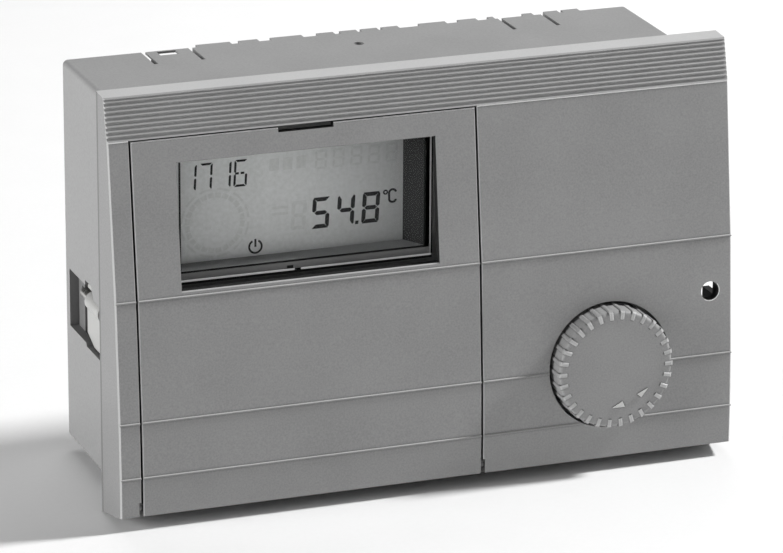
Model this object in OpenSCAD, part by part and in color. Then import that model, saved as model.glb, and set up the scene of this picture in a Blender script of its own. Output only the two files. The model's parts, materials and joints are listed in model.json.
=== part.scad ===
// Panel-mounted programmable timer for a heating plant, millimetres.
// Origin: centre of the panel cut-out, on the plane where the front frame seats on the panel.
// +X is to the user's right, +Y goes back into the panel and +Z is up.

/* [Front] */
// Width of the front frame
front_w = 144; // [143:0.5:145]
// Height of the front frame
front_h = 96; // [95.5:0.5:96.5]
// Wall thickness of the front plate
plate_t = 2.2; // [2:0.1:2.6]
// Wall thickness of the frame's skirt
skirt_t = 1.6; // [1.4:0.1:2]
// Pitch of the ribs in the band above the door
rib_pitch = 1.02; // [0.9:0.01:1.1]

/* [Door] */
// Thickness of the door
door_t = 1.8; // [1.6:0.1:2]
// Gap around the door
door_gap = 0.45; // [0.3:0.05:0.6]

/* [Knob] */
// Radius of the knob
knob_r = 13.85; // [13:0.05:13.9]
// Number of grip ribs around the knob
knob_ribs = 30; // [24:1:36]

/* [Housing] */
// Width of the rear housing
housing_w = 135; // [134:0.5:136]
// Height of the rear housing
housing_h = 88.5; // [88:0.5:89.5]
// Depth of the rear housing behind the panel plane
housing_d = 40; // [39:0.5:42]
// Wall thickness of the rear housing
wall = 2; // [1.8:0.1:2.2]

/* [Clamps] */
// Radius of the clamp screws
clamp_screw_r = 1.25; // [1.2:0.05:1.4]
// Radius of the screwdriver holes
access_r = 2.15; // [2:0.05:2.3]

/* [Hidden] */
$fn = 48;
eps = 0.01;
fit_gap = 0.05;
move_gap = 0.3;

// Front surface from the top edge down: the creases between its flat facets, as [Y, Z].
// Each crease below the band carries a fine ridge. The band starts under a small lip and is cut into ribs
front_creases = [[-5.2, 47.7], [-7.5, 38.5], [-11.6, 3.6], [-13.4, -23.5], [-13.8, -36], [-13.8, -44.8]];
band_bottom = front_creases[1][1];
ridge_creases = [front_creases[2][1], front_creases[3][1], front_creases[4][1]];
ridge_half = 0.25;
ridge_rise = 0.25;
lip_low = 47.4;
band_sink = 0.3;
rib_under = 0.05;
edge_c = 0.35;
band_ribs = 8;
rib_half = 0.1;
rib_slope = 0.32;
front_low = front_creases[5];
function front_y(z) = lookup(-z, [for (p = front_creases) [-p[1], p[0]]]);

// Hooks on the front frame that hold the housing, along X, and the height they grip at
hook_x = [-40, 40];
hook_z = 41.2;
low_hook_x = 46;
low_hook_z = -42.7;
housing_z = -0.75;

// Door opening, its hinge axis and the window in it
bay_x0 = -67.25;
bay_x1 = 12.15;
bay_wall = 1.6;
bay_low = -46.2;
bay_open_low = -44.6;
sill_y = -8.6;
bay_back = -3;
bay_floor_t = 1.8;
hinge_y = -12;
hinge_z = -43;
hinge_r = 1;
lug_r = 1.75;
pin_len = 2.4;
lug_pocket_top = -41.6;
win = [-56.9, 2.3, 4.8, 32.7];
notch_x0 = -33.6;
notch_x1 = -21;
notch_deep = 1.4;

// Display stack, front to back
pane_y = -6;
pane_t = 1.4;
pane = [win[0] - 0.5, win[1] + 0.3, 5.3, 34.2];
glass_seen = [-55.2, -3.6, 7.7, 31.8];
glass_y = -1;
glass_t = 2;
board_y = 5;
board_t = 1.6;

// Controls behind the door and on the front, as [X, Z]
button_at = [-50, -14];
button_r = 4;
button_travel = 0.8;
led_at = [-38, -14];
mode_at = [-20, -14];
mode_travel = 4;
port_at = [0, -14];
knob_at = [42.4, -23];
knob_face = -17.2;
grip_rise = 0.3;
face_back = knob_face + grip_rise;
knob_back = -9.2;
well_r = knob_r + 0.7;
well_floor = -8.6;
mark_rise = 0.24;
knob_mark_outlines = [[[-0.76, -8.99], [1.65, -7.7], [2.23, -9]],
    [[5.2, -6.43], [7.71, -5.26], [6.13, -7.23]]];
shaft_r = 3;

// Clamps: the screw axis on each side, the claw and the pocket that it folds into
clamp_x = [-65, 66.7];
clamp_z = -8.7;
claw_y0 = 17;
claw_y1 = 27;
tail_y = [21.4, 31];
claw_len = 9.2;
bush_r = 1.85;
claw_hub_r = 2.25;
chamber_in = 8;
chamber_z0 = -18.5;
chamber_z1 = -3.1;
chamber_y0 = 2.8;
chamber_y1 = 32.5;
pocket_y0 = 25.4;
pocket_y1 = 37.5;
pocket_z = [-17.7, -4.2];
slope_y = [19.1, 21];
hub_top = clamp_z + claw_hub_r + move_gap;
tail_len = 5;
tail_in = 2.2;

// Main board and what stands on it
main_y = 26;
main_t = 1.6;
socket_back = 39.4;
socket_h = 14;
socket_wall = 1.2;
top_row_z = 33;
low_row_z = -34.5;
mains_x = [-37, 2];
outlet_x = [4, 57];
sensor_x = [-58, -8];
bus_x = [-2, 38];
contact_pitch = 5;
first_pin_x = -37.5;
pin_pitch = 2.54;
case_screw_at = [[-60, -36], [5, -36]];
board_screw_at = [[-61, 38], [61, 38], [-61, -26], [61, -38]];
column_back = 10.5;

// Ribs on the rear cover's top edge that key the plugs, as [from, to] along X
key_ribs = [[-36, -28], [-26, -21.5], [-18.5, -11], [-7.5, -3.5], [-2, 2], [3, 7], [8, 12],
    [17, 23.5], [26.5, 31], [33.8, 35.2], [42.3, 44.7], [47.6, 51], [52, 56]];

function span(middle, half) = [middle - half, middle + half];

// Helpers: a box by its limits, an extrusion along X or Y, a rod along Y
module block(x, y, z) {
    translate([x[0], y[0], z[0]]) cube([x[1] - x[0], y[1] - y[0], z[1] - z[0]]);
}
module along_x(a, b) {
    translate([a, 0, 0]) rotate([90, 0, 90]) linear_extrude(b - a) children();
}
module along_y(a, b) {
    translate([0, b, 0]) rotate([90, 0, 0]) linear_extrude(b - a) children();
}
module rod(at, r, a, b) {
    translate([at[0], b, at[1]]) rotate([90, 0, 0]) cylinder(r = r, h = b - a);
}
// Cutters that take the sharp corner off an edge, c wide: along X, or from one [Y, Z] point up to another
module corner_bar(c, len) {
    rotate([0, 0, 45]) translate([-c * sqrt(0.5), -c * sqrt(0.5), 0]) cube([c * sqrt(2), c * sqrt(2), len]);
}
module corner_along_x(x0, x1, at, c) {
    translate([x0, at[0], at[1]]) rotate([0, 90, 0]) corner_bar(c, x1 - x0);
}
module corner_up(x, low, high, c) {
    d = high - low;
    translate([x, low[0], low[1]]) rotate([atan2(-d[0], d[1]), 0, 0])
        translate([0, 0, -c / 2]) corner_bar(c, norm(d) + c);
}
// The same down the front surface from its crease number k on
module corner_down_front(x, k, c) {
    for (i = [k:4]) corner_up(x, front_creases[i + 1], front_creases[i], c);
}
module round_rect(w, h, r) {
    square([w - 2 * r, h], center = true);
    square([w, h - 2 * r], center = true);
    for (x = [-1, 1], z = [-1, 1]) translate([x * (w / 2 - r), z * (h / 2 - r)]) circle(r = r);
}

// Outline of the front surface from z_top to z_low, moved back by inset, with or without its ridges
function ridge(z, lift) = [
    [front_y(z + ridge_half), z + ridge_half],
    [front_y(z) - lift, z + ridge_half / 2],
    [front_y(z) - lift, z - ridge_half / 2],
    [front_y(z - ridge_half), z - ridge_half]];
function rib(z) = [
    [front_y(z) + band_sink, z + rib_slope],
    [front_y(z), z + rib_half],
    [front_y(z), z - rib_half],
    [front_y(z) + band_sink, z - rib_half - rib_under]];
function lower_front() = concat(ridge(ridge_creases[0], ridge_rise), ridge(ridge_creases[1], ridge_rise),
    ridge(ridge_creases[2], ridge_rise), [front_low]);
function band_front() = concat(
    [front_creases[0] + [edge_c, 0], [front_y(lip_low), lip_low],
     [front_y(lip_low - 0.1) + band_sink, lip_low - 0.1]],
    [for (k = [band_ribs:-1:1]) each rib(band_bottom + k * rib_pitch)],
    [[front_y(band_bottom) + band_sink, band_bottom + ridge_half],
     [front_y(band_bottom) - ridge_rise / 2, band_bottom],
     [front_y(band_bottom), band_bottom - ridge_half]]);
function inner_front(t) = [for (k = [1:4]) [front_creases[k][0] + t, front_creases[k][1]]];

module front_shell() {
    difference() {
        along_x(-front_w / 2, front_w / 2)
            polygon(concat([[0, front_h / 2]], band_front(), lower_front(), [[0, -front_h / 2]]));
        along_x(-front_w / 2 + skirt_t, front_w / 2 - skirt_t)
            polygon(concat([[1, front_h / 2 - skirt_t], [-3.2, front_h / 2 - skirt_t]],
                inner_front(plate_t),
                [[front_low[0] + plate_t, front_low[1] + skirt_t], [1, -front_h / 2 + skirt_t + 0.2]]));
    }
}

module bay_box(grow, y0, y1) {
    block([bay_x0 - grow, bay_x1 + grow], [y0, y1], [bay_low, band_bottom + grow]);
}

// Space that the door fills and turns in
module bay_space() {
    along_x(bay_x0, bay_x1) polygon([[-30, band_bottom], [bay_back, band_bottom],
        [bay_back, bay_open_low], [sill_y, bay_open_low], [sill_y, -60], [-30, -60]]);
}

module snap_hook(x, z, up) {
    z0 = up > 0 ? z - 1.3 : z;
    block(span(x, 4), [-11.7, 8], [z0, z0 + 1.3]);
    block(span(x, 4), [6, 8], [up > 0 ? z - eps : z - 0.7, up > 0 ? z + 0.7 : z + eps]);
}

module bay_floor_holes() {
    block([pane[0] + 1, pane[1] - 1], [bay_back - 1, 1], [pane[2] + 1, pane[3] - 1]);
    rod(button_at, button_r + 0.2, bay_back - 1, 1);
    rod(led_at, 1.6, bay_back - 1, 1);
    rod(port_at, 2.6, bay_back - 1, 1);
    block([mode_at[0] - 1.7, mode_at[0] + mode_travel + 1.7], [bay_back - 1, 1],
        span(mode_at[1], 1.7));
    for (at = case_screw_at) rod(at, 1.6, bay_back - 1, 1);
    rod([clamp_x[0], clamp_z], access_r, bay_back - 1, 1);
}

module front_frame() {
    color("gray") difference() {
        union() {
            front_shell();
            intersection() {
                union() {
                    difference() {
                        bay_box(bay_wall, -20, bay_back + eps);
                        bay_box(0, -21, bay_back + 1);
                    }
                    bay_box(bay_wall, bay_back, bay_back + bay_floor_t);
                    rod(knob_at, well_r + 1.6, -16, well_floor + 1.4);
                }
                along_x(-front_w / 2 + 1, front_w / 2 - 1)
                    polygon(concat([[0, 47], [-5, 47]], inner_front(plate_t / 2),
                        [[front_low[0] + 1, front_low[1] + 0.5], [0, -47.2]]));
            }
            for (x = hook_x) intersection() {
                snap_hook(x, hook_z, 1);
                block([-70, 70], [-6, 10], [30, 45]);
            }
            snap_hook(low_hook_x, low_hook_z, -1);
        }
        bay_space();
        bay_floor_holes();
        rod(knob_at, well_r, -30, well_floor);
        rod(knob_at, shaft_r + 1.2, -20, 1);
        rod([clamp_x[1], clamp_z], access_r, -30, 0);
        // Pockets beside the door's hinge lugs, and the holes for its pins
        block([bay_x0 - 0.5, bay_x1 + 0.5], [-20, sill_y], [-50, lug_pocket_top]);
        translate([bay_x0 - pin_len - 0.5, hinge_y, hinge_z]) rotate([0, 90, 0])
            cylinder(r = hinge_r + fit_gap, h = bay_x1 - bay_x0 + 2 * pin_len + 1);
        for (x = [-front_w / 2, front_w / 2]) corner_down_front(x, 0, edge_c);
        for (x = [bay_x0, bay_x1]) corner_down_front(x, 1, edge_c / 2);
        // Notch in the skirt beside the right clamp screw
        block([front_w / 2 - skirt_t - 1, front_w / 2 + 1], [-5.6, 1], [-12, -5]);
    }
}

module control_overlay() {
    color("dimgray") difference() {
        block([-58, 8], [bay_back - 0.3, bay_back], [-24, 0]);
        rod(button_at, button_r + 0.6, bay_back - 1, bay_back + 1);
        rod(led_at, 2, bay_back - 1, bay_back + 1);
        rod(port_at, 3, bay_back - 1, bay_back + 1);
        block([mode_at[0] - 2, mode_at[0] + mode_travel + 2], span(bay_back, 1),
            span(mode_at[1], 2));
    }
}

module door() {
    top = band_bottom - 0.4;
    lip_end = [-10.2, -45.55];
    color("gray") difference() {
        union() {
            along_x(bay_x0 + door_gap, bay_x1 - door_gap)
                polygon(concat([[front_y(top), top]], lower_front(),
                    [lip_end, [lip_end[0], lip_end[1] + 1.5],
                     [front_low[0] + door_t, front_low[1] + 1.3],
                     [front_creases[4][0] + door_t, front_creases[4][1]],
                     [front_creases[3][0] + door_t, front_creases[3][1]],
                     [front_creases[2][0] + door_t, front_creases[2][1]],
                     [front_y(top) + door_t, top]]));
            // Hinge lugs, pins and the stiffening ribs down both sides
            for (x = [bay_x0 + door_gap, bay_x1 - door_gap - 5]) translate([x, hinge_y, hinge_z])
                rotate([0, 90, 0]) cylinder(r = lug_r, h = 5);
            for (x = [bay_x0 + door_gap, bay_x1 - door_gap - 1.2]) along_x(x, x + 1.2)
                polygon([[-11.5, 0], [-8.2, 0], [-9, -38], [-12.4, -41], [-13, -36]]);
            // Holder for the magnet
            rod([7, 22], 3, front_y(22) + 1, bay_back - 2.4);
        }
        block([win[0], win[1]], [-20, 0], [win[2], win[3]]);
        for (z = [win[2], win[3]]) corner_along_x(win[0], win[1], [front_y(z), z], edge_c * 0.7);
        for (x = [bay_x0 + door_gap, bay_x1 - door_gap]) corner_down_front(x, 1, edge_c * 0.6);
        corner_along_x(bay_x0, bay_x1, [front_y(top), top], edge_c * 0.6);
        block([notch_x0, notch_x1], [-20, 0], [top + 0.4 - notch_deep, 50]);
        rod([7, 22], 2.05, bay_back - 4.5, bay_back);
    }
    color("gray") translate([bay_x0 + door_gap - pin_len, hinge_y, hinge_z]) rotate([0, 90, 0])
        cylinder(r = hinge_r, h = bay_x1 - bay_x0 - 2 * door_gap + 2 * pin_len);
}

module door_magnet() {
    color("silver") rod([7, 22], 2, bay_back - 4.5, bay_back - 2.5);
}

module display_window() {
    color("lightgray", 0.3) {
        block([pane[0], pane[1]], [pane_y, pane_y + pane_t], [pane[2], pane[3]]);
        difference() {
            block([pane[0], pane[1]], [pane_y + pane_t - eps, bay_back], [pane[2], pane[3]]);
            block([pane[0] + 1, pane[1] - 1], [pane_y, 0], [pane[2] + 1, pane[3] - 1]);
        }
        block([-28.4, -26.4], [pane_y + pane_t, bay_back], [pane[2] - 0.9, pane[2] + eps]);
    }
}

module display_frame() {
    color("#303030") difference() {
        block([pane[0] + 1.2, pane[1] - 1.2], [pane_y + pane_t + 0.1, glass_y],
            [pane[2] + 1.2, pane[3] - 1.2]);
        hull() {
            block([pane[0] + 1.6, pane[1] - 1.6], [pane_y, pane_y + pane_t + 0.2],
                [pane[2] + 1.6, pane[3] - 1.6]);
            block([glass_seen[0], glass_seen[1]], [glass_y, glass_y + 1], [glass_seen[2], glass_seen[3]]);
        }
    }
}

module lcd_glass() {
    color("darkgray") block([-58, 3], [glass_y, glass_y + glass_t], [3.4, 35.6]);
}

module lcd_diffuser() {
    color("white") block([-56, 0], [glass_y + glass_t, glass_y + glass_t + 2], [7, 32.4]);
}

module zebra_strip(z) {
    color("dimgray") block([-56, 1], [glass_y + glass_t, board_y], [z, z + 2]);
}
module zebra_strip_upper() { zebra_strip(33.2); }
module zebra_strip_lower() { zebra_strip(3.9); }

module display_board() {
    color("darkgreen") difference() {
        union() {
            block([-63, 14], [board_y, board_y + board_t], [-40, 37]);
            block([13, 57.8], [board_y, board_y + board_t], [-40, 2]);
        }
        for (at = case_screw_at) block([at[0] - 5, at[0] + 4.4], [0, 10], [-41, at[1] + 4.4]);
        block([-70, clamp_x[0] + 7.8], [0, 10], [chamber_z0 - 2, chamber_z1 + 2]);
    }
}

module microcontroller() {
    color("#202020") block([-32, -18], [board_y + board_t, board_y + board_t + 1.6], [-22, -8]);
}
module clock_crystal() {
    color("silver") along_y(board_y + board_t, board_y + board_t + 3.5)
        translate([-10, -16]) round_rect(10, 4.2, 2);
}
module backup_capacitor() {
    color("navy") rod([-46, 20], 6, board_y + board_t, board_y + board_t + 6);
}
module reed_switch() {
    color("lightgreen") translate([7, board_y - 1.4, 14]) cylinder(r = 1.3, h = 15);
}

module encoder_body() {
    color("#404040") difference() {
        union() {
            block(span(knob_at[0], 6.5), [-1, board_y], span(knob_at[1], 6.5));
            rod(knob_at, 4, -6, -1 + eps);
        }
        rod(knob_at, shaft_r + fit_gap, -10, 3);
    }
}
module encoder_shaft() {
    color("silver") difference() {
        rod(knob_at, shaft_r, knob_face + 3.2, 2.8);
        block(span(knob_at[0], 4), [knob_face, knob_back + 1],
            [knob_at[1] + 1.5, knob_at[1] + 4]);
    }
}

// Outline of revolution of the knob's front, with its rounded edge of radius e
module knob_round(r, face, e) {
    rotate([90, 0, 0]) rotate_extrude($fn = 96) union() {
        translate([r - e, -face - e]) circle(r = e, $fn = 32);
        translate([0, -face - e]) square([r - e, e]);
        translate([0, -knob_back]) square([r, knob_back - face - e]);
    }
}

module knob() {
    edge = 0.8;
    skin = 1.5;
    boss_r = 5;
    rib_start = 11.75;
    rib_r = 0.55;
    rib_sink = 0.3;
    side_rib_r = 0.6;
    side_rib_out = 0.06;
    color("gray") difference() {
        translate([knob_at[0], 0, knob_at[1]]) union() {
            knob_round(knob_r - grip_rise, face_back, edge);
            // Grip ribs: each rises out of the face, turns over the edge and runs down the side
            intersection() {
                knob_round(knob_r, knob_face, edge + grip_rise / 2);
                union() for (k = [0:knob_ribs - 1]) rotate([0, k * 360 / knob_ribs, 0]) {
                    translate([rib_start, face_back + rib_sink, 0]) rotate([0, 90, 0])
                        cylinder(r = rib_r, h = knob_r, $fn = 16);
                    translate([knob_r - side_rib_r + side_rib_out, knob_back - 0.4, 0]) rotate([90, 0, 0])
                        cylinder(r = side_rib_r, h = knob_back - knob_face - 1, $fn = 16);
                }
            }
        }
        // Hollow behind the face, around the boss that takes the shaft
        difference() {
            rod(knob_at, knob_r - grip_rise - skin, face_back + skin, knob_back + 1);
            rod(knob_at, boss_r, knob_face, knob_back + 2);
        }
        rod(knob_at, shaft_r + fit_gap, knob_face + 2.2, knob_back + 1);
    }
}

// Raised marks that show the two turning directions
module knob_marks() {
    color("gainsboro") translate([knob_at[0], 0, knob_at[1]]) along_y(face_back - mark_rise, face_back)
        for (m = knob_mark_outlines) polygon(m);
}

module program_button() {
    color("lightgray") {
        rod(button_at, button_r, -6.4, 0.6);
        rod(button_at, button_r + 0.8, -1, 0.6);
        rod(button_at, 1.7, 0.5, 3);
    }
}
module program_switch() {
    color("#202020") difference() {
        block(span(button_at[0], 3), [1.6, board_y], span(button_at[1], 3));
        rod(button_at, 1.7 + fit_gap, 1, 3 + button_travel + 0.1);
    }
}
module mode_switch() {
    color("#202020") difference() {
        block([mode_at[0] - 5, mode_at[0] + mode_travel + 5], [0.6, board_y], span(mode_at[1], 3));
        block([mode_at[0] - 2, mode_at[0] + mode_travel + 2], [0, 3], span(mode_at[1], 1.7));
    }
}
module mode_slider() {
    color("white") {
        block(span(mode_at[0], 1.4), [-5.4, 2.7], span(mode_at[1], 1.4));
        for (x = [-0.9, 0, 0.9]) block([mode_at[0] + x - 0.2, mode_at[0] + x + 0.2], [-5.7, -5.3],
            span(mode_at[1], 1.4));
    }
}
module status_led() {
    color("red") {
        rod(led_at, 1.5, 1.2, 4);
        rod(led_at, 1.9, 4 - eps, board_y);
    }
}
module status_light_pipe() {
    color("mistyrose") {
        rod(led_at, 1.5, -3.6, 1);
        rod(led_at, 2.1, -1.1, 1);
    }
}
module optical_port() {
    color("darkred") {
        rod(port_at, 2.5, -3.4, 0.2);
        rod(port_at, 3.4, -1.1, 0.2);
    }
}

module board_socket() {
    color("#202020") difference() {
        block([-40, -10], [board_y + board_t, 15], [32, 36]);
        for (k = [0:10]) block(span(first_pin_x + k * pin_pitch, 0.4), [9, 16], span(34, 0.4));
    }
}
module board_pins() {
    color("gold") {
        for (k = [0:10]) block(span(first_pin_x + k * pin_pitch, 0.32), [10, main_y], span(34, 0.32));
        block([-40, -10], [main_y - 2.5, main_y], [32, 36]);
    }
}

module housing_hollow() {
    translate([0, housing_z]) round_rect(housing_w - 2 * wall, housing_h - 2 * wall, 0.6);
}
// Side = 0 for the left, 1 for the right
function side_sign(side) = side == 0 ? -1 : 1;
function side_face(side) = side_sign(side) * housing_w / 2;

// Spans from the side's outer face inwards by d, as [low, high]
function inward(side, d) = side == 0 ? [side_face(0) - eps, side_face(0) + d]
    : [side_face(1) - d, side_face(1) + eps];

module clamp_chamber_walls(side) {
    t = 1.2;
    block(inward(side, chamber_in + t), [chamber_y0 - t, chamber_y1 + t], [chamber_z0 - t, chamber_z1 + t]);
    block(inward(side, wall + t), [chamber_y1, pocket_y1 + t], [pocket_z[0] - t, pocket_z[1] + t]);
}
module clamp_chamber_space(side) {
    inner = [for (x = [wall, chamber_in]) side_face(side) - side_sign(side) * x];
    block([min(inner), max(inner)], [chamber_y0, chamber_y1], [chamber_z0, chamber_z1]);
    // Opening through the side wall, which narrows towards the front
    along_x(inward(side, wall + eps)[0], inward(side, wall + eps)[1])
        polygon([[pocket_y1, pocket_z[0]], [pocket_y0, pocket_z[0]], [pocket_y0 - 0.6, chamber_z0],
            [chamber_y0, chamber_z0], [chamber_y0, hub_top], [slope_y[0], hub_top],
            [slope_y[1], chamber_z1],
            [pocket_y0, chamber_z1], [pocket_y0, pocket_z[1]], [pocket_y1, pocket_z[1]]]);
    // Slit at the back of the pocket, between the side wall and the chamber
    block(inward(side, wall + 2), [pocket_y1 - 0.5, pocket_y1], pocket_z);
    block(inward(side, 6), [-2, chamber_y0 - 1.2], [-12.2, -5.2]);
    rod([clamp_x[side], clamp_z], clamp_screw_r + fit_gap, -2, chamber_y1 + 2);
}

module housing() {
    color("darkgray") difference() {
        union() {
            difference() {
                along_y(-0.9, housing_d) translate([0, housing_z]) round_rect(housing_w, housing_h, 1.2);
                along_y(-2, housing_d + 1) housing_hollow();
            }
            intersection() {
                union() for (side = [0, 1]) clamp_chamber_walls(side);
                along_y(-0.9, housing_d) translate([0, housing_z]) round_rect(housing_w, housing_h, 1.2);
            }
            for (at = case_screw_at) {
                rod(at, 3.6, -0.9, column_back);
                block(span(at[0], 0.8), [-0.9, column_back], [-44, at[1]]);
            }
            for (at = board_screw_at) {
                rod(at, 3, main_y - 12, main_y);
                block([at[0] > 0 ? at[0] : -66, at[0] > 0 ? 66 : at[0]], [main_y - 12, main_y],
                    span(at[1], 0.8));
            }
        }
        for (side = [0, 1]) clamp_chamber_space(side);
        for (at = case_screw_at) rod(at, 1.3, -2, column_back - 1.5);
        for (at = board_screw_at) rod(at, 1.15, main_y - 10, main_y + 1);
        // Slits that free the two latch tongues, and the slot in the left one
        for (x = [-49.4, -38.4, 35.6, 46.2]) block([x, x + 1], [30.2, housing_d + 1], [40, 45]);
        for (x = [[-48.5, -38.3], [36.5, 46.3]]) block(x, [31, housing_d + 1], [40, 42.5]);
        block([-46, -41.6], [36.4, 39.3], [40, 45]);
        block([-48.5, -38.3], [35.8, housing_d + 1], [42, 43]);
        // Gate mark on the top and recesses for the front frame's hooks
        translate([-1.2, 31, 42.5]) cylinder(r = 1.2, h = 2);
        for (x = hook_x) block(span(x, 4.2), [5.8, 8.2], [41, 42.4]);
        block(span(low_hook_x, 4.2), [5.8, 8.2], [-44, -42.8]);
    }
}

module socket_window(x, z) {
    block([x[0] - 0.3, x[1] + 0.3], [30, 50], [z - socket_h / 2 - 0.3, z + socket_h / 2 + 0.3]);
}

module rear_cover() {
    color("darkgray") {
        difference() {
            along_y(socket_back - 1.6, socket_back) translate([0, housing_z])
                round_rect(housing_w - 2 * wall - 0.4, housing_h - 2 * wall - 0.4, 0.6);
            socket_window(mains_x, top_row_z);
            socket_window(outlet_x, top_row_z);
            socket_window(sensor_x, low_row_z);
            socket_window(bus_x, low_row_z);
            for (x = [[-50, -37], [35, 47.4]]) block(x, [30, 50], [40.6, 45]);
            for (side = [0, 1]) block(inward(side, wall + 1.5), [30, 50],
                [pocket_z[0] - 1.6, pocket_z[1] + 1.6]);
        }
        for (x = key_ribs) {
            block(x, [socket_back - eps, housing_d + 2.2], [40.2, 41.3]);
            block(x, [housing_d + fit_gap, housing_d + 2.2], [41, 43.4]);
        }
    }
}

module main_board() {
    color("darkgreen") difference() {
        block([-64.6, 64.6], [main_y, main_y + main_t], [-42.4, 41]);
        for (at = board_screw_at) rod(at, 1.4, main_y - 1, main_y + 3);
        for (side = [0, 1]) block(inward(side, chamber_in + 1.6), [20, 40],
            [chamber_z0 - 1.6, chamber_z1 + 1.6]);
    }
}

transformer = [46, 22];
module transformer_core() {
    color("dimgray") difference() {
        block([transformer[0] - 16, transformer[0] + 12], [6, main_y], span(transformer[1], 14));
        for (z = [-8.6, 4.4]) block([transformer[0] - 17, transformer[0] + 13], [11, 21],
            [transformer[1] + z - 0.6, transformer[1] + z + 4.8]);
    }
}
module transformer_winding() {
    color("khaki") difference() {
        block([transformer[0] - 19, transformer[0] + 15], [11.2, 20.8], span(transformer[1], 9));
        block([transformer[0] - 16.2, transformer[0] + 12.2], [5, 30], span(transformer[1], 4));
    }
}

module relay(k) {
    color("#2a3a6a") {
        block([-14 + 14 * k, -3 + 14 * k], [11, main_y - 0.5], [-40, -20]);
        for (z = [-38, -30, -22]) block([-9.5 + 14 * k, -8.5 + 14 * k],
            [main_y - 0.6, main_y], span(z, 0.3));
    }
}
module relay_1() { relay(0); }
module relay_2() { relay(1); }
module relay_3() { relay(2); }
module relay_4() { relay(3); }

module filter_capacitor() {
    color("#202040") rod([20, 26], 6.25, 9, main_y);
}
module varistor() {
    color("royalblue") translate([-6, 19, 26]) rotate([0, 90, 0]) cylinder(r = 5, h = 4, center = true);
    color("royalblue") for (z = [23.5, 28.5]) block([-6.4, -5.6], [20, main_y], span(z, 0.4));
}
fuse_z = 20;
module fuse() {
    color("lightgray") translate([-44, 20, fuse_z]) rotate([0, 90, 0]) cylinder(r = 2.5, h = 20);
}
module fuse_clips() {
    color("silver") for (x = [-43.5, -29.5]) difference() {
        block([x, x + 5], [16.9, main_y], span(fuse_z, 3.1));
        translate([x - 1, 20, fuse_z]) rotate([0, 90, 0]) cylinder(r = 2.5 + fit_gap, h = 7);
        block([x - 1, x + 6], [15, 20], span(fuse_z, 2));
    }
}

module socket(x, z) {
    color("gainsboro") difference() {
        block(x, [main_y + main_t, socket_back], [z - socket_h / 2, z + socket_h / 2]);
        block([x[0] + socket_wall, x[1] - socket_wall], [main_y + main_t + 2, socket_back + 1],
            [z - socket_h / 2 + socket_wall, z + socket_h / 2 - socket_wall]);
        contact_slots(x, z, 0.02);
    }
}
function contact_count(x) = floor((x[1] - x[0] - 2 * socket_wall) / contact_pitch);
module contact_slots(x, z, gap) {
    n = contact_count(x);
    first = (x[0] + x[1]) / 2 - (n - 1) * contact_pitch / 2;
    for (k = [0:n - 1]) block(span(first + k * contact_pitch, 1.4 + gap),
        [main_y + main_t, main_y + main_t + 10], [z - 3.9 - gap, z - 3.1 + gap]);
}
module mains_socket() { socket(mains_x, top_row_z); }
module outlet_socket() { socket(outlet_x, top_row_z); }
module sensor_socket() { socket(sensor_x, low_row_z); }
module bus_socket() { socket(bus_x, low_row_z); }
module socket_contacts() {
    color("gold") {
        contact_slots(mains_x, top_row_z, 0);
        contact_slots(outlet_x, top_row_z, 0);
        contact_slots(sensor_x, low_row_z, 0);
        contact_slots(bus_x, low_row_z, 0);
    }
}

// A pan-head screw along Y with a cross slot, its head in front when dir is 1 and behind when it is -1
module screw(at, y, dir, head_r, head_h, r, len) {
    translate([at[0], y, at[1]]) rotate([dir > 0 ? -90 : 90, 0, 0]) {
        difference() {
            cylinder(r = head_r, h = head_h);
            for (a = [0, 90]) rotate([0, 0, a]) translate([-head_r * 0.65, -0.3, -1])
                cube([head_r * 1.3, 0.6, 1.9]);
        }
        translate([0, 0, head_h - eps]) cylinder(r = r, h = len);
    }
}
module case_screws() {
    color("silver") for (at = case_screw_at) screw(at, bay_back - 2, 1, 2.75, 2, 1.25, 11);
}
module board_screws() {
    color("silver") for (at = board_screw_at) screw(at, main_y + main_t + 1.8, -1, 2.4, 1.8, 1.1, 8);
}

module clamp_screw(side) {
    color("silver") screw([clamp_x[side], clamp_z], -0.7, 1, 2.1, 2, clamp_screw_r, chamber_y1 - 0.4);
}
module clamp_screw_left() { clamp_screw(0); }
module clamp_screw_right() { clamp_screw(1); }

module clamp_bush(side) {
    color("goldenrod") difference() {
        rod([clamp_x[side], clamp_z], bush_r, claw_y0, claw_y1);
        rod([clamp_x[side], clamp_z], clamp_screw_r + fit_gap, claw_y0 - 1, claw_y1 + 1);
    }
}
module clamp_bush_left() { clamp_bush(0); }
module clamp_bush_right() { clamp_bush(1); }

// Claw folded down beside the housing; its arm is thicker on the inner side
module clamp_claw(side) {
    s = side_sign(side);
    inner = clamp_x[side] - s * 3.4;
    outer = clamp_x[side] + s * 1.6;
    tail = side_face(side) - s * (wall + move_gap);
    tail_face = clamp_x[side] - s * tail_in;
    color("whitesmoke") difference() {
        union() {
            rod([clamp_x[side], clamp_z], claw_hub_r, claw_y0, claw_y1);
            along_x(min(inner, outer), max(inner, outer)) polygon([[claw_y0, clamp_z], [claw_y1, clamp_z],
                [claw_y1, clamp_z - claw_len + 2], [claw_y1 - 5, clamp_z - claw_len],
                [claw_y0, clamp_z - claw_len]]);
            // Tail above the screw that stops the claw when it stands out
            block([min(tail_face, tail), max(tail_face, tail)], tail_y, [clamp_z, clamp_z + tail_len]);
        }
        rod([clamp_x[side], clamp_z], bush_r + fit_gap, claw_y0 - 1, tail_y[1] + 1);
    }
}
module clamp_claw_left() { clamp_claw(0); }
module clamp_claw_right() { clamp_claw(1); }

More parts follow.
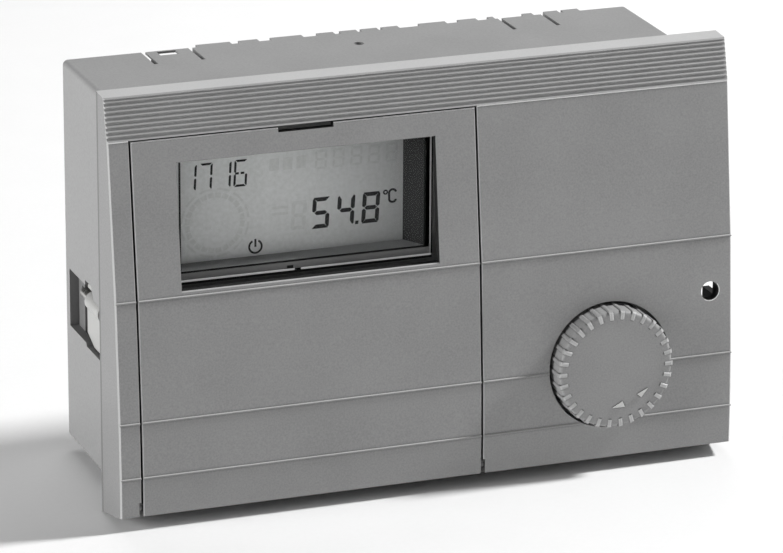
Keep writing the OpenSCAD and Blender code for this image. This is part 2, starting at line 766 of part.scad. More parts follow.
front_frame();
control_overlay();
door();
door_magnet();
display_window();
display_frame();
lcd_glass();
lcd_diffuser();
zebra_strip_upper();
zebra_strip_lower();
display_board();
microcontroller();
clock_crystal();
backup_capacitor();
reed_switch();
encoder_body();
encoder_shaft();
knob();
knob_marks();
program_button();
program_switch();
mode_switch();
mode_slider();
status_led();
status_light_pipe();
optical_port();
board_socket();
board_pins();
housing();
rear_cover();
main_board();
transformer_core();
transformer_winding();
relay_1();
relay_2();
relay_3();
relay_4();
filter_capacitor();
varistor();
fuse();
fuse_clips();
mains_socket();
outlet_socket();
sensor_socket();
bus_socket();
socket_contacts();
case_screws();
board_screws();
clamp_screw_left();
clamp_screw_right();
clamp_bush_left();
clamp_bush_right();
clamp_claw_left();
clamp_claw_right();
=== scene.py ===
"""Looks of the panel-mounted programmable timer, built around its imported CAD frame.

Everything is in metres in the CAD frame: X to the right, Y into the panel, Z up. Outlines of what is added on
the display, the window and the front are in mm.
"""

import json
import math

import bmesh
import bpy
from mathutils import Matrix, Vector


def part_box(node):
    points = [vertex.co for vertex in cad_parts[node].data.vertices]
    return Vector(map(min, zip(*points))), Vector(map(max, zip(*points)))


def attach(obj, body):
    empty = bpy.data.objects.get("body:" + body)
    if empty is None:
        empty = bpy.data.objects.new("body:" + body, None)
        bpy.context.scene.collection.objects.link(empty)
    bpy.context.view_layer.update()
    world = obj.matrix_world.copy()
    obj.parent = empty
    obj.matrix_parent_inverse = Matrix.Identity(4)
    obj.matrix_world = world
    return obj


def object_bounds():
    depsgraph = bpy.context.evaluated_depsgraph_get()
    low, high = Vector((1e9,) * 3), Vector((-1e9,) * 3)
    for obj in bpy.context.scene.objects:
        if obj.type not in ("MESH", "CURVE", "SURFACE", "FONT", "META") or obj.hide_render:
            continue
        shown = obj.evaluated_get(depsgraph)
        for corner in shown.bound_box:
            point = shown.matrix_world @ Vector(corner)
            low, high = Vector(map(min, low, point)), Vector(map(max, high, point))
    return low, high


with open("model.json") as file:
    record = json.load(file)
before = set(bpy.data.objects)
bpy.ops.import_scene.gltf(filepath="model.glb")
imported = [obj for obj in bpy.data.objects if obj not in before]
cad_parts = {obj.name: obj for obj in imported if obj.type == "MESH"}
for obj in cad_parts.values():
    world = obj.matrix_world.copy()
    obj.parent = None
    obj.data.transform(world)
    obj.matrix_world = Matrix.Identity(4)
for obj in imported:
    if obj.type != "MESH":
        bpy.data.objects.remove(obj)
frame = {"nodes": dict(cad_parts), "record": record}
cad_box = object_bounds()
NODES = frame["nodes"]
MM = 0.001


# ---------------------------------------------------------------- building blocks of materials
def shader_of(mat):
    return next(n for n in mat.node_tree.nodes if n.type == "BSDF_PRINCIPLED")


def new_material(name):
    mat = bpy.data.materials.new(name)
    mat.use_nodes = True
    return mat, mat.node_tree, shader_of(mat)


def object_coords(tree):
    return tree.nodes.new("ShaderNodeTexCoord").outputs["Object"]


def object_coord(tree, axis):
    split = tree.nodes.new("ShaderNodeSeparateXYZ")
    tree.links.new(object_coords(tree), split.inputs["Vector"])
    return split.outputs[axis]


def noise(tree, scale, detail=3.0, stretch=(1, 1, 1)):
    """A noise texture in object coordinates. scale is in features per metre."""
    mapping = tree.nodes.new("ShaderNodeMapping")
    mapping.inputs["Scale"].default_value = stretch
    tree.links.new(object_coords(tree), mapping.inputs["Vector"])
    tex = tree.nodes.new("ShaderNodeTexNoise")
    tex.inputs["Scale"].default_value = scale
    tex.inputs["Detail"].default_value = detail
    tree.links.new(mapping.outputs["Vector"], tex.inputs["Vector"])
    return tex.outputs["Fac"]


def maths(tree, operation, source, second=None):
    """One arithmetic step on a socket. second is a number or another socket."""
    node = tree.nodes.new("ShaderNodeMath")
    node.operation = operation
    tree.links.new(source, node.inputs[0])
    if isinstance(second, bpy.types.NodeSocket):
        tree.links.new(second, node.inputs[1])
    elif second is not None:
        node.inputs[1].default_value = second
    return node.outputs["Value"]


NOISE_LOW, NOISE_HIGH = 0.3, 0.7    # where nearly all of a noise texture's values lie


def remap(tree, source, low, high, start=NOISE_LOW, end=NOISE_HIGH):
    """start to end becomes low to high."""
    node = tree.nodes.new("ShaderNodeMapRange")
    node.inputs["From Min"].default_value = start
    node.inputs["From Max"].default_value = end
    node.inputs["To Min"].default_value = low
    node.inputs["To Max"].default_value = high
    tree.links.new(source, node.inputs["Value"])
    return node.outputs["Result"]


def vary_color(tree, shader, source, color, low, high):
    """The base colour swings between low and high times color along the texture."""
    ramp = tree.nodes.new("ShaderNodeValToRGB")
    stops = zip(ramp.color_ramp.elements, (NOISE_LOW, NOISE_HIGH), (low, high))
    for stop, position, factor in stops:
        stop.position = position
        stop.color = (*(min(1.0, c * factor) for c in color), 1.0)
    tree.links.new(source, ramp.inputs["Fac"])
    tree.links.new(ramp.outputs["Color"], shader.inputs["Base Color"])


def scale_color(mat, factor):
    """Multiply the material's base colour by the factor socket."""
    tree, shader = mat.node_tree, shader_of(mat)
    link = shader.inputs["Base Color"].links[0]
    source = link.from_socket
    tree.links.remove(link)
    scaled = tree.nodes.new("ShaderNodeVectorMath")
    scaled.operation = "SCALE"
    tree.links.new(source, scaled.inputs[0])
    tree.links.new(factor, scaled.inputs["Scale"])
    tree.links.new(scaled.outputs["Vector"], shader.inputs["Base Color"])
    return mat


def bump(tree, shader, source, strength, depth):
    node = tree.nodes.new("ShaderNodeBump")
    node.inputs["Strength"].default_value = strength
    node.inputs["Distance"].default_value = depth
    tree.links.new(source, node.inputs["Height"])
    tree.links.new(node.outputs["Normal"], shader.inputs["Normal"])


def grey(level):
    return (level, level, level)


# ---------------------------------------------------------------- kinds of material
BROAD_SCALE = 60        # slow changes of tone over a moulding
BROAD_SHARE = 0.35      # of the tone, and the rest comes from the grain


def moulded(name, color, rough=0.5, grain=2600, depth=0.00003, strength=0.35, spread=0.05, specular=0.4):
    """Injection-moulded plastic with a fine spark-eroded grain.

    grain is in grains per metre, depth is the grain's depth in metres, and spread is how far the tone swings.
    """
    mat, tree, shader = new_material(name)
    fine = noise(tree, grain, 2.0)
    broad = noise(tree, BROAD_SCALE)
    tone = maths(tree, "ADD", maths(tree, "MULTIPLY", broad, BROAD_SHARE),
                 maths(tree, "MULTIPLY", fine, 1 - BROAD_SHARE))
    vary_color(tree, shader, tone, color, 1 - spread, 1 + spread)
    tree.links.new(remap(tree, broad, rough - 0.05, rough + 0.05), shader.inputs["Roughness"])
    shader.inputs["Specular IOR Level"].default_value = specular
    bump(tree, shader, fine, strength, depth)
    return mat


def add_crevices(mat, reach, darkest):
    """Shade that gathers in narrow gaps and round small raised shapes, up to reach metres away."""
    open_share = mat.node_tree.nodes.new("ShaderNodeAmbientOcclusion")
    open_share.samples = 8
    open_share.inputs["Distance"].default_value = reach
    closed, wide_open = 0.5, 0.97
    return scale_color(mat, remap(mat.node_tree, open_share.outputs["AO"], darkest, 1.0, closed, wide_open))


def painted_glow(mat, strength):
    """Painted light: the material glows a little, as a painted highlight on the clear edge of the window."""
    shader = shader_of(mat)
    shader.inputs["Emission Color"].default_value = (1, 1, 1, 1)
    shader.inputs["Emission Strength"].default_value = strength
    return mat


def painted_side_shade_line(mat, low, high, factor):
    """Painted shade: a darker line round the side, between two Y planes of the frame."""
    tree = mat.node_tree
    half = (high - low) / 2
    distance = maths(tree, "ABSOLUTE", maths(tree, "SUBTRACT", object_coord(tree, "Y"), (low + high) / 2))
    return scale_color(mat, remap(tree, distance, factor, 1.0, half * 0.8, half * 1.2))


def display_face(name, level):
    """The pale liquid-crystal glass, with painted shade that darkens it towards its right end."""
    color = (level, level * 1.005, level * 0.985)
    mat = moulded(name, color, rough=0.4, grain=1100, depth=0.000002, strength=0.15, spread=0.09,
                  specular=0.3)
    fall_start, fall_end, right_share = -34 * MM, -3 * MM, 0.42
    across = object_coord(mat.node_tree, "X")
    return scale_color(mat, remap(mat.node_tree, across, 1.0, right_share, fall_start, fall_end))


def metal(name, color, rough=0.3, stretch=(1, 1, 1), scale=900):
    """Plated or turned metal with fine tool lines."""
    mat, tree, shader = new_material(name)
    lines = noise(tree, scale, 4.0, stretch)
    vary_color(tree, shader, lines, color, 0.88, 1.05)
    tree.links.new(remap(tree, lines, rough - 0.08, rough + 0.1), shader.inputs["Roughness"])
    shader.inputs["Metallic"].default_value = 1.0
    bump(tree, shader, lines, 0.25, 0.00001)
    return mat


def clear(name, color, rough=0.03, ior=1.12):
    """Clear plastic or glass that lets lamps through to what is behind it."""
    mat, tree, shader = new_material(name)
    tree.links.new(remap(tree, noise(tree, 400), rough, rough + 0.04), shader.inputs["Roughness"])
    shader.inputs["Base Color"].default_value = (*color, 1.0)
    shader.inputs["Transmission Weight"].default_value = 1.0
    shader.inputs["IOR"].default_value = ior
    path = tree.nodes.new("ShaderNodeLightPath")
    open_way = tree.nodes.new("ShaderNodeBsdfTransparent")
    open_way.inputs["Color"].default_value = (*color, 1.0)
    mix = tree.nodes.new("ShaderNodeMixShader")
    out = next(n for n in tree.nodes if n.type == "OUTPUT_MATERIAL")
    tree.links.new(path.outputs["Is Shadow Ray"], mix.inputs["Fac"])
    tree.links.new(shader.outputs["BSDF"], mix.inputs[1])
    tree.links.new(open_way.outputs["BSDF"], mix.inputs[2])
    tree.links.new(mix.outputs["Shader"], out.inputs["Surface"])
    return mat


def laminate(name):
    """Solder-resist green over a woven glass laminate."""
    mat, tree, shader = new_material(name)
    weave = tree.nodes.new("ShaderNodeTexWave")
    weave.inputs["Scale"].default_value = 500
    weave.inputs["Distortion"].default_value = 0.6
    tree.links.new(object_coords(tree), weave.inputs["Vector"])
    tracks = tree.nodes.new("ShaderNodeTexVoronoi")
    tracks.distance = "CHEBYCHEV"
    tracks.inputs["Scale"].default_value = 220
    tree.links.new(object_coords(tree), tracks.inputs["Vector"])
    vary_color(tree, shader, tracks.outputs["Distance"], (0.035, 0.15, 0.07), 0.75, 1.25)
    tree.links.new(remap(tree, weave.outputs["Fac"], 0.28, 0.4), shader.inputs["Roughness"])
    bump(tree, shader, weave.outputs["Fac"], 0.2, 0.00002)
    return mat


# ---------------------------------------------------------------- the record's material slots
FRONT = grey(0.315)
GRAINY = 0.13           # spread of tone in the front's grain
MOULDED = {
    "front_plastic": dict(color=FRONT, spread=GRAINY),
    "housing_plastic": dict(color=grey(0.29), rough=0.55, grain=2200, spread=0.09),
    "overlay_foil": dict(color=(0.09, 0.09, 0.095), rough=0.42, grain=3000),
    "dark_plastic": dict(color=grey(0.022), rough=0.6, grain=5200, depth=0.000002, strength=0.1, spread=0.2,
                         specular=0.2),
    "white_plastic": dict(color=(0.8, 0.8, 0.79)),
    "dark_rubber": dict(color=grey(0.02), rough=0.8, grain=1800),
    "black_plastic": dict(color=grey(0.018), rough=0.45),
    "blue_sleeve": dict(color=(0.012, 0.02, 0.09), rough=0.3, grain=900, depth=0.00001),
    "light_plastic": dict(color=(0.5, 0.5, 0.49), rough=0.45),
    "red_plastic": dict(color=(0.13, 0.006, 0.006), rough=0.2, grain=3000, depth=0.000005),
    "winding_tape": dict(color=(0.62, 0.42, 0.06), rough=0.3, grain=700, depth=0.00002),
    "relay_plastic": dict(color=(0.02, 0.035, 0.12), rough=0.4),
    "varistor_blue": dict(color=(0.02, 0.07, 0.28), rough=0.3, grain=500, depth=0.00005),
    "socket_plastic": dict(color=(0.42, 0.42, 0.4), rough=0.45),
    "claw_plastic": dict(color=(0.42, 0.42, 0.41), rough=0.4),
}
TURNED = dict(stretch=(1, 40, 1), scale=60)
METALS = {
    "bright_metal": dict(color=(0.62, 0.61, 0.6), rough=0.28),
    "contact_metal": dict(color=(0.72, 0.6, 0.36), rough=0.25),
    "core_steel": dict(color=(0.24, 0.23, 0.22), rough=0.45, stretch=(1, 60, 1), scale=40),
    "screw_steel": dict(color=(0.55, 0.55, 0.53), **TURNED),
    "brass": dict(color=(0.6, 0.42, 0.14), **TURNED),
}
MATERIALS = {slot: moulded(slot, **look) for slot, look in MOULDED.items()}
MATERIALS.update({slot: metal(slot, **look) for slot, look in METALS.items()})
MATERIALS["clear_plastic"] = clear("clear_plastic", (0.96, 0.97, 0.97))
MATERIALS["clear_glass"] = clear("clear_glass", (0.93, 0.96, 0.95), 0.02)
MATERIALS["lcd_glass"] = display_face("lcd_glass", 0.93)
MATERIALS["board_laminate"] = laminate("board_laminate")
add_crevices(MATERIALS["front_plastic"], reach=0.6 * MM, darkest=0.25)

# ---------------------------------------------------------------- finishes, painted light and painted shade of single faces
SMOOTHER = dict(rough=0.45, depth=0.00002, strength=0.25)
HANDLED = dict(rough=0.4, depth=0.00002, strength=0.25)
CLEAN_CUT = dict(depth=0.00001, strength=0.2)
POLISHED = dict(depth=0.000005, strength=0.1)
# Painted highlight: a lighter grey for the top of the frame's upper lip and the edge below the window
EDGE_HIGHLIGHT = moulded("front_plastic_edge_highlight", grey(0.5), **HANDLED)
# Painted highlight: a lighter grey for the slopes and corners that look up or sideways at the front
CREASE_HIGHLIGHT = moulded("front_plastic_crease_highlight", grey(0.45), **SMOOTHER)
# Painted light: the up-facing faces of the ribbed band get a grey of their own, and the undersides a pale
# grey that lifts their shade
RIB_TOP_LIGHT = moulded("front_plastic_rib", grey(0.33), **SMOOTHER)
RIB_UNDER_LIGHT = moulded("front_plastic_under", grey(0.8), **SMOOTHER)
# Painted highlight: near white along the door's top edge
DOOR_TOP_HIGHLIGHT = moulded("front_plastic_top_highlight", grey(0.95), rough=0.4, spread=0.03, **CLEAN_CUT)
SHADE_PLASTIC = moulded("front_plastic_shade", grey(0.02), rough=0.6, spread=0.1, specular=0.2,
                        **CLEAN_CUT)
# Painted shade and light: a mid grey for the strip of shade above the window's lower rim, and for the
# up-facing faces of the dark display frame, which it lightens
LIT_AND_SHADED_STRIP = moulded("display_strip", grey(0.3), **CLEAN_CUT)
# Painted shade: a darker grey inside the pockets for the clamps
POCKET_SHADE = moulded("housing_inside_shade", grey(0.17), rough=0.6, grain=2200)
MARK_INK = moulded("knob_mark_ink", (0.7, 0.7, 0.69), rough=0.4, grain=3000, depth=0.00001)
GHOST_INK = display_face("lcd_ghost", 0.84)
# Painted shade: the frame's outer sides are a darker grey than its front, with a line of painted shade
# between two Y planes
SHADED_SIDE_PLASTIC = painted_side_shade_line(moulded("front_plastic_side_shaded", grey(0.25), spread=GRAINY),
                         low=-1.0 * MM, high=-0.1 * MM, factor=0.6)
# Painted highlight: the knob's raised ribs are a lighter grey than its face; painted shade gathers round them
# and in the knob's gaps
GRIP_HIGHLIGHT = add_crevices(moulded("knob_grip_highlight", grey(0.48), **HANDLED), reach=0.5 * MM, darkest=0.3)
KNOB_PLASTIC = add_crevices(moulded("knob_plastic", grey(0.325), spread=GRAINY),
                            reach=0.5 * MM, darkest=0.02)
# Painted highlights: near white with a faint glow for the window's lower rim, and a mid grey for its right
# rim
RIM_HIGHLIGHT = painted_glow(moulded("window_rim", grey(0.9), rough=0.2, **POLISHED), strength=0.15)
SIDE_RIM_HIGHLIGHT = moulded("window_rim_side", grey(0.5), rough=0.3, **POLISHED)


def dress(obj, mat):
    obj.data.materials.clear()
    obj.data.materials.append(mat)


for subpart in frame["record"]["subparts"]:
    dress(NODES[subpart["node"]], MATERIALS[subpart["material_slot"]])

# Places on the CAD nodes, where one finish, painted light or painted shade gives way to another
WINDOW_X = (-57.1 * MM, 2.5 * MM)       # the hole for the window in the door, with a little room
WINDOW_Z = (4.6 * MM, 32.9 * MM)
BAND_Z = 37.3 * MM                      # foot of the ribbed band
BAND_Y = (-11 * MM, -4.5 * MM)
SKIRT_Y = -4.5 * MM                     # the skirt is behind this plane and the front before it
SIDE_X = 71.5 * MM                      # past this on either side is the outside of the frame
SKIRT_INSIDE_X = (70 * MM, 71.9 * MM)
SKIRT_INSIDE_Z = (-45 * MM, 0)
ACCESS_AXES = [Vector((x, 0, -0.0087)) for x in (-0.065, 0.0667)]
ACCESS_REACH = 2.9 * MM                 # a little more than the radius of the screwdriver holes
KNOB_AXIS = Vector((0.0424, 0, -0.023))
KNOB_FACE_Y = -16.9 * MM
RIB_START = 11.2 * MM                   # distance of the knob's ribs from its axis
LIP_Z = 47.3 * MM                       # the frame's upper lip is above this
DOOR_TOP_Z = 35 * MM
DOOR_FOOT_Z = -44 * MM
SILL_Z = (3.8 * MM, 5.3 * MM)           # the edge below the window
POCKET_X = (55 * MM, 67.3 * MM)         # the two pockets for the clamps
POCKET_Z = (-19.5 * MM, -2 * MM)
POCKET_END_Y = 38.5 * MM


def between(value, limits):
    return limits[0] < value < limits[1]


def from_axis(axis, center):
    return Vector((center.x - axis.x, center.z - axis.z)).length


def in_band(center):
    return center.z > BAND_Z and between(center.y, BAND_Y)


def rib_top(center, normal):
    return in_band(center) and normal.z > 0.3


def rib_underside(center, normal):
    return in_band(center) and normal.z < -0.3


def side_face(center, normal):
    return abs(normal.x) > 0.98 and abs(center.x) > SIDE_X


def near_access_hole(center, normal):
    """The inside of the skirt behind the right access hole, and the notch in it."""
    faces_in = normal.x < -0.9 or abs(normal.z) > 0.9
    return faces_in and between(center.x, SKIRT_INSIDE_X) and between(center.z, SKIRT_INSIDE_Z)


def front_edge(center, normal):
    """Slopes that look up or sideways at the front, which take a lighter grey as a painted highlight."""
    is_slope = normal.z > 0.45
    is_corner = 0.4 < abs(normal.x) < 0.95 and normal.y < -0.3
    return center.y <= SKIRT_Y and (is_slope or is_corner)


def window_reveal(center, normal):
    """The cut sides of the window through the door."""
    return between(center.x, WINDOW_X) and between(center.z, WINDOW_Z) and abs(normal.y) < 0.3


def access_bore(center, normal):
    return abs(normal.y) < 0.3 and any(from_axis(axis, center) < ACCESS_REACH for axis in ACCESS_AXES)


def raised_on_knob(center, normal):
    return from_axis(KNOB_AXIS, center) > RIB_START and center.y < KNOB_FACE_Y - 0.02 * MM


def lip_top(center, normal):
    return normal.z > 0.9 and center.z > LIP_Z


def door_rim(center, normal):
    """The cut edges of the door, which stay in shade in their gap."""
    is_side = abs(normal.x) > 0.95 and center.z > DOOR_FOOT_Z
    is_top = normal.z > 0.95 and center.z > DOOR_TOP_Z
    return is_side or is_top


def looks_up_and_out(normal):
    return normal.z > 0.45 and normal.y < -0.3


def door_top_edge(center, normal):
    return looks_up_and_out(normal) and center.z > DOOR_TOP_Z


def window_sill_edge(center, normal):
    return looks_up_and_out(normal) and between(center.z, SILL_Z)


def looks_up(center, normal):
    return normal.z > 0.3


def in_clamp_pocket(center, normal):
    return between(abs(center.x), POCKET_X) and between(center.z, POCKET_Z) and center.y < POCKET_END_Y


def everywhere(center, normal):
    return True


# For each node, the first test that a face passes gives its finish, painted light or painted shade
FINISHES_AND_PAINTED_LIGHT = {
    "front_frame": [
        (access_bore, SHADE_PLASTIC), (near_access_hole, SHADE_PLASTIC), (side_face, SHADED_SIDE_PLASTIC),
        (rib_top, RIB_TOP_LIGHT), (rib_underside, RIB_UNDER_LIGHT), (lip_top, EDGE_HIGHLIGHT),
        (front_edge, CREASE_HIGHLIGHT)],
    "door": [
        (window_reveal, SHADE_PLASTIC), (door_rim, SHADE_PLASTIC), (door_top_edge, DOOR_TOP_HIGHLIGHT),
        (window_sill_edge, EDGE_HIGHLIGHT), (front_edge, CREASE_HIGHLIGHT)],
    "knob": [(raised_on_knob, GRIP_HIGHLIGHT), (everywhere, KNOB_PLASTIC)],
    "knob_marks": [(everywhere, MARK_INK)],
    "display_frame": [(looks_up, LIT_AND_SHADED_STRIP)],
    "housing": [(in_clamp_pocket, POCKET_SHADE)],
}
for node_name, finishes in FINISHES_AND_PAINTED_LIGHT.items():
    mesh = NODES[node_name].data
    first = len(mesh.materials)
    for test, mat in finishes:
        mesh.materials.append(mat)
    for poly in mesh.polygons:
        for k, (test, mat) in enumerate(finishes):
            if test(poly.center, poly.normal):
                poly.material_index = first + k
                break


# ---------------------------------------------------------------- helpers for pieces
def new_object(name, bm):
    mesh = bpy.data.meshes.new(name)
    bm.to_mesh(mesh)
    bm.free()
    obj = bpy.data.objects.new(name, mesh)
    bpy.context.scene.collection.objects.link(obj)
    return obj


def add_piece(name, bm, slot, mat=None, body="case"):
    """A piece of the visual model. mat is its look where that differs from its slot's."""
    bm.normal_update()
    obj = new_object(name, bm)
    for poly in obj.data.polygons:
        poly.use_smooth = True
    obj.data.set_sharp_from_angle(angle=math.radians(30))
    dress(obj, mat or MATERIALS[slot])
    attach(obj, body)
    return obj


def prism(bm, outline, y0, y1):
    """A closed prism from an outline of (x, z) points in mm, between two Y planes in metres."""
    front = [bm.verts.new((x * MM, y0, z * MM)) for x, z in outline]
    back = [bm.verts.new((x * MM, y1, z * MM)) for x, z in outline]
    bm.faces.new(front)
    bm.faces.new(list(reversed(back)))
    count = len(outline)
    for k in range(count):
        bm.faces.new((front[(k + 1) % count], front[k], back[k], back[(k + 1) % count]))


def ring_outline(centre, radius, start, end, stroke, steps):
    """The outer and inner points of an arc bar from start to end degrees, anticlockwise."""
    rows = []
    for reach in (radius + stroke / 2, radius - stroke / 2):
        angles = [math.radians(start + (end - start) * k / steps) for k in range(steps + 1)]
        rows.append([(centre[0] + reach * math.cos(a), centre[1] + reach * math.sin(a)) for a in angles])
    return rows


def bar(bm, x, y, z):
    """A box by its limits in mm with its long edges taken off."""
    made = bmesh.ops.create_cube(bm, size=1.0)["verts"]
    for v in made:
        v.co = Vector([(low + high) / 2 + at * (high - low) for at, (low, high) in zip(v.co, (x, y, z))]) * MM
    edges = {e for v in made for e in v.link_edges}
    width = min(x[1] - x[0], y[1] - y[0], z[1] - z[0]) * MM * 0.2
    bmesh.ops.bevel(bm, geom=list(edges), offset=width, segments=1, affect="EDGES")


# ---------------------------------------------------------------- display characters
GLASS_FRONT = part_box("lcd_glass")[0].y
INK = 0.03 * MM


def level_bar(x0, x1, z, t, lift):
    """A level bar of a digit. lift is 1 at the digit's top, -1 at its foot and 0 in the middle."""
    if lift:
        return [(x0 - t * 0.9, z + lift * t), (x1 + t * 0.9, z + lift * t), (x1 - t, z - lift * t),
                (x0 + t, z - lift * t)]
    return [(x0, z), (x0 + t, z + t), (x1 - t, z + t), (x1, z), (x1 - t, z - t), (x0 + t, z - t)]


def upright_bar(x, z_hi, z_lo, t, side, is_upper):
    """An upright bar of a digit. side is 1 at the digit's right and -1 at its left."""
    out, near, back = x + side * t, x + side * t * 0.3, x - side * t
    if is_upper:
        return [(out, z_hi + t * 0.2), (near, z_hi + t * 0.9), (back, z_hi - t), (back, z_lo + t),
                (x, z_lo + t * 0.1), (out, z_lo + t * 0.8)]
    return [(x, z_hi - t * 0.1), (out, z_hi - t * 0.8), (out, z_lo - t * 0.2), (near, z_lo - t * 0.9),
            (back, z_lo + t), (back, z_hi - t)]


def digit(bars, centre, half_w, half_h, stroke, slant, gap):
    """Outlines of some bars of a seven-bar digit. a is the top bar, then clockwise, and g is the middle."""
    t = stroke / 2
    outlines = []
    for name in bars:
        if name in "adg":
            lift = {"a": 1, "d": -1, "g": 0}[name]
            outline = level_bar(gap - half_w, half_w - gap, lift * half_h, t, lift)
        else:
            side = 1 if name in "bc" else -1
            is_upper = name in "bf"
            z_hi, z_lo = (half_h, 0) if is_upper else (0, -half_h)
            outline = upright_bar(side * half_w, z_hi - gap, z_lo + gap, t, side, is_upper)
        outlines.append([(centre[0] + x + slant * z, centre[1] + z) for x, z in outline])
    return outlines


def block(x, z, width, height, lean=0.0):
    """A four-cornered field from its lower left corner, in mm."""
    return [(x, z), (x + width, z), (x + width + lean, z + height), (x + lean, z + height)]


# The bars that each digit lights, the shapes of the digits, and where their centres are, in mm
BARS = {"1": "bc", "4": "bcfg", "5": "acdfg", "6": "acdef", "7": "abc", "8": "abcdefg"}
BIG = dict(half_w=1.56, half_h=3.08, stroke=0.93, slant=0.065, gap=0.1)
SMALL = dict(half_w=1.27, half_h=2.8, stroke=0.5, slant=0.055, gap=0.16)
GHOST_BIG = dict(half_w=1.3, half_h=2.85, stroke=0.85, slant=0.065, gap=0.1)
GHOST_SMALL = dict(half_w=1.1, half_h=1.9, stroke=0.5, slant=0.055, gap=0.12)
BIG_Z = 15.72
SMALL_Z = 26.7
BIG_X = (-21.64, -15.84, -10.04)
SMALL_X = (-51.6, -48.0, -43.7, -40.03)
GHOST_BIG_X = -26.75
GHOST_SMALL_X = [-21.6 + 4.1 * k for k in range(5)]
GHOST_SMALL_Z = 27.9
DEGREE_AT = (-6.6, 18.82)
LETTER_C_X = -4.95
LETTER_C_Z = (17.25, 18.5)              # centres of its two bows
POWER_AT = (-36.72, 9.6)
GHOST_RING_AT = (-46.0, 16.0)


def ring_bar(bm, centre, radius, start, end, stroke, y0, y1, steps=28):
    outer, inner = ring_outline(centre, radius, start, end, stroke, steps)
    for k in range(steps):
        prism(bm, [outer[k], outer[k + 1], inner[k + 1], inner[k]], y0, y1)


def ring_of_dashes(bm, radius, stroke, pitch, space, y0, y1):
    for start in range(0, 360, pitch):
        outer, inner = ring_outline(GHOST_RING_AT, radius, start + space, start + pitch - space, stroke, 3)
        prism(bm, outer + inner[::-1], y0, y1)


def lit_characters():
    """A clock time, a temperature and a power symbol."""
    bm = bmesh.new()
    y0, y1 = GLASS_FRONT - INK, GLASS_FRONT - INK / 10
    for text, places, z, style in (("548", BIG_X, BIG_Z, BIG), ("1716", SMALL_X, SMALL_Z, SMALL)):
        for char, x in zip(text, places):
            for outline in digit(BARS[char], (x, z), **style):
                prism(bm, outline, y0, y1)
    # The middle bar of the small six is broken in its centre
    for x in (-41.27, -40.02):
        prism(bm, block(x, 26.45, 0.84, 0.5), y0, y1)
    # Decimal point
    prism(bm, block(-13.72, 12.2, 0.77, 0.8, lean=0.1), y0, y1)
    # Degree ring and C
    low, high = LETTER_C_Z
    ring_bar(bm, DEGREE_AT, 0.42, 0, 360, 0.34, y0, y1, 20)
    ring_bar(bm, (LETTER_C_X, high), 0.82, 15, 180, 0.5, y0, y1, 14)
    ring_bar(bm, (LETTER_C_X, low), 0.82, 180, 345, 0.5, y0, y1, 14)
    prism(bm, block(LETTER_C_X - 1.07, low, 0.5, high - low), y0, y1)
    # Power symbol
    ring_bar(bm, POWER_AT, 1.44, 118, 422, 0.44, y0, y1)
    prism(bm, block(POWER_AT[0] - 0.22, POWER_AT[1] - 0.1, 0.44, 1.85), y0, y1)
    add_piece("display_characters", bm, "dark_plastic")


def ghost_characters():
    """The unlit fields of the display, just visible against the glass."""
    bm = bmesh.new()
    y0, y1 = GLASS_FRONT - INK / 2, GLASS_FRONT - INK / 12
    ring_of_dashes(bm, 6.3, 1.1, 15, 1.6, y0, y1)
    ring_of_dashes(bm, 7.7, 0.5, 30, 4, y0, y1)
    fields = digit(BARS["8"], (GHOST_BIG_X, BIG_Z), **GHOST_BIG)
    for x in GHOST_SMALL_X:
        fields += digit(BARS["8"], (x, GHOST_SMALL_Z), **GHOST_SMALL)
    fields += [block(-33.0, z, 3.8, 0.6, lean=0.05) for z in (16.2, 17.6)]
    fields += [block(-33.5 + 3.1 * k, 26.4, 2.2, 2.8, lean=0.1) for k in range(3)]
    for outline in fields:
        prism(bm, outline, y0, y1)
    add_piece("display_ghosts", bm, "lcd_glass", GHOST_INK)


# ---------------------------------------------------------------- window and access hole
PANE_LOW, PANE_HIGH = (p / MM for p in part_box("display_window"))
RIM_Z = PANE_LOW.z + 0.55
RIM_WIDTH = 0.4
NICK_X = (-29.4, -27.9)     # the mould's gate mark in the lower rim


def proud(lift):
    """Y limits in mm of something that stands lift mm proud of the pane."""
    return (PANE_LOW.y - lift, PANE_LOW.y - 0.01)


def window_edges():
    """Painted highlights along the lower and right rims of the clear window, and painted shade in strips and
    bars along them.
    """
    left, right = PANE_LOW.x + 0.2, PANE_HIGH.x - 0.35
    rim_top = RIM_Z + RIM_WIDTH
    bm = bmesh.new()
    # Painted highlights: bars along the lower rim, broken at the nick, and up the right rim
    bar(bm, (left, NICK_X[0]), proud(0.12), (RIM_Z, rim_top))
    bar(bm, (NICK_X[1], right), proud(0.12), (RIM_Z, rim_top))
    bar(bm, (right - 0.35, right), proud(0.12), (rim_top, PANE_HIGH.z - 0.3))
    rim = add_piece("window_rim", bm, "white_plastic", RIM_HIGHLIGHT)
    # The right rim's bar takes the dimmer painted highlight
    rim.data.materials.append(SIDE_RIM_HIGHLIGHT)
    for poly in rim.data.polygons:
        poly.material_index = int(poly.center.z > (rim_top + 0.1) * MM)
    # Painted shade: a grey strip above the lower rim
    bm = bmesh.new()
    bar(bm, (left, PANE_HIGH.x - 0.8), proud(0.04), (rim_top, rim_top + 1.55))
    add_piece("window_strip", bm, "overlay_foil", LIT_AND_SHADED_STRIP)
    # Painted shade: dark bars along the pane's left edge and below its lower rim, and a dark patch beside the
    # nick
    bm = bmesh.new()
    bar(bm, (left + 1.5, left + 1.95), proud(0.08), (PANE_LOW.z, PANE_HIGH.z - 0.6))
    bar(bm, (left, PANE_HIGH.x - 0.1), proud(0.08), (PANE_LOW.z, RIM_Z))
    bar(bm, (-31.1, -29.7), proud(0.08), (RIM_Z + 0.5, RIM_Z + 1.2))
    add_piece("window_painted_shade", bm, "dark_plastic")


HOLE_AT = (66.7, -8.7)
FRONT_SLOPE = 1.8 / 27.1    # the front leans back by this much of its height
FRONT_AT_HOLE = -11.6 - 12.3 * FRONT_SLOPE


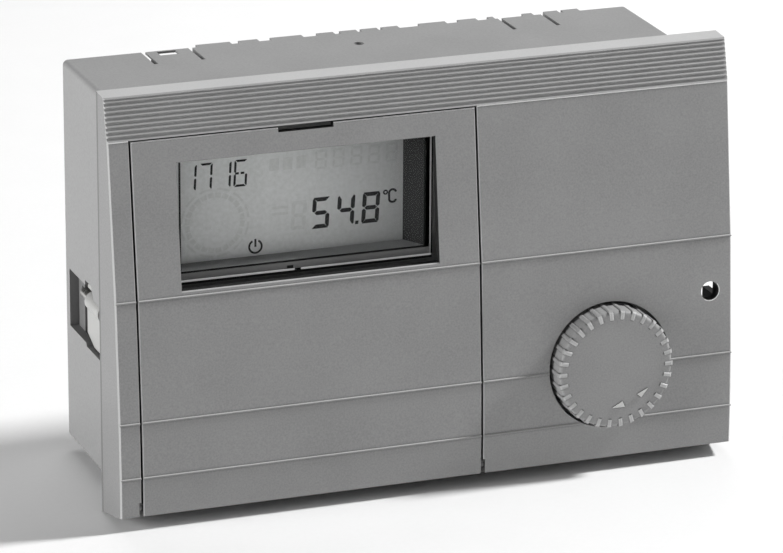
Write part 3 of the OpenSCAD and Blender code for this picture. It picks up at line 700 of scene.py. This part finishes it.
def access_bevel_highlight():
    """A pale bevel round the lower right of the screwdriver hole, as a painted highlight."""
    bm = bmesh.new()
    outer, inner = ring_outline(HOLE_AT, 2.28, -125, 40, 0.2, 30)
    proud_by, sunk_by = 0.02, -0.3
    rows = []
    for out_at, in_at in zip(outer, inner):
        row = []
        for (x, z), lift in ((out_at, proud_by), (in_at, proud_by), (in_at, sunk_by), (out_at, sunk_by)):
            y = FRONT_AT_HOLE + (z - HOLE_AT[1]) * FRONT_SLOPE - lift
            row.append(bm.verts.new((x * MM, y * MM, z * MM)))
        rows.append(row)
    for one, two in zip(rows, rows[1:]):
        for k in range(4):
            bm.faces.new((one[k], one[(k + 1) % 4], two[(k + 1) % 4], two[k]))
    bm.faces.new(rows[0][::-1])
    bm.faces.new(rows[-1])
    bmesh.ops.recalc_face_normals(bm, faces=bm.faces[:])
    add_piece("access_bevel_highlight", bm, "white_plastic")


lit_characters()
ghost_characters()
window_edges()
access_bevel_highlight()

# ---------------------------------------------------------------- stage
camera_data = bpy.data.cameras.new("camera")
camera_data.sensor_width = 36
camera_data.lens = 224.99
camera_data.clip_start = 0.05
camera_data.clip_end = 20
camera = bpy.data.objects.new("camera", camera_data)
bpy.context.scene.collection.objects.link(camera)
camera.location = (-0.36062, -0.95916, 0.34371)
camera.rotation_euler = [math.radians(a) for a in (71.366, -0.268, -20.270)]
bpy.context.scene.camera = camera


def area_light(name, location, size, power):
    """A square lamp that looks at the object."""
    data = bpy.data.lights.new(name, "AREA")
    data.energy = power
    data.size = size
    light = bpy.data.objects.new(name, data)
    bpy.context.scene.collection.objects.link(light)
    light.location = location
    light.rotation_euler = (-Vector(location)).to_track_quat("-Z", "Y").to_euler()


area_light("key_box", (1.2, -0.1, 1.0), 0.2, 30.5)
area_light("left_box", (-1.4, -0.1, 0.27), 0.7, 18.5)
area_light("top_box", (0.1, 0.75, 1.1), 0.8, 3.6)

bm = bmesh.new()
bmesh.ops.create_grid(bm, x_segments=1, y_segments=1, size=6.0)
floor = new_object("floor", bm)
floor.location = (0, 0, cad_box[0][2])
dress(floor, moulded("floor_paper", grey(0.86), rough=0.8, grain=800, depth=0.00001, strength=0.1,
                     spread=0.01, specular=0.2))

world = bpy.data.worlds.new("studio")
world.use_nodes = True
backdrop = world.node_tree.nodes["Background"]
backdrop.inputs["Color"].default_value = (1, 1, 1, 1)
backdrop.inputs["Strength"].default_value = 0.09
bpy.context.scene.world = world
bpy.context.scene.view_settings.view_transform = "Standard"
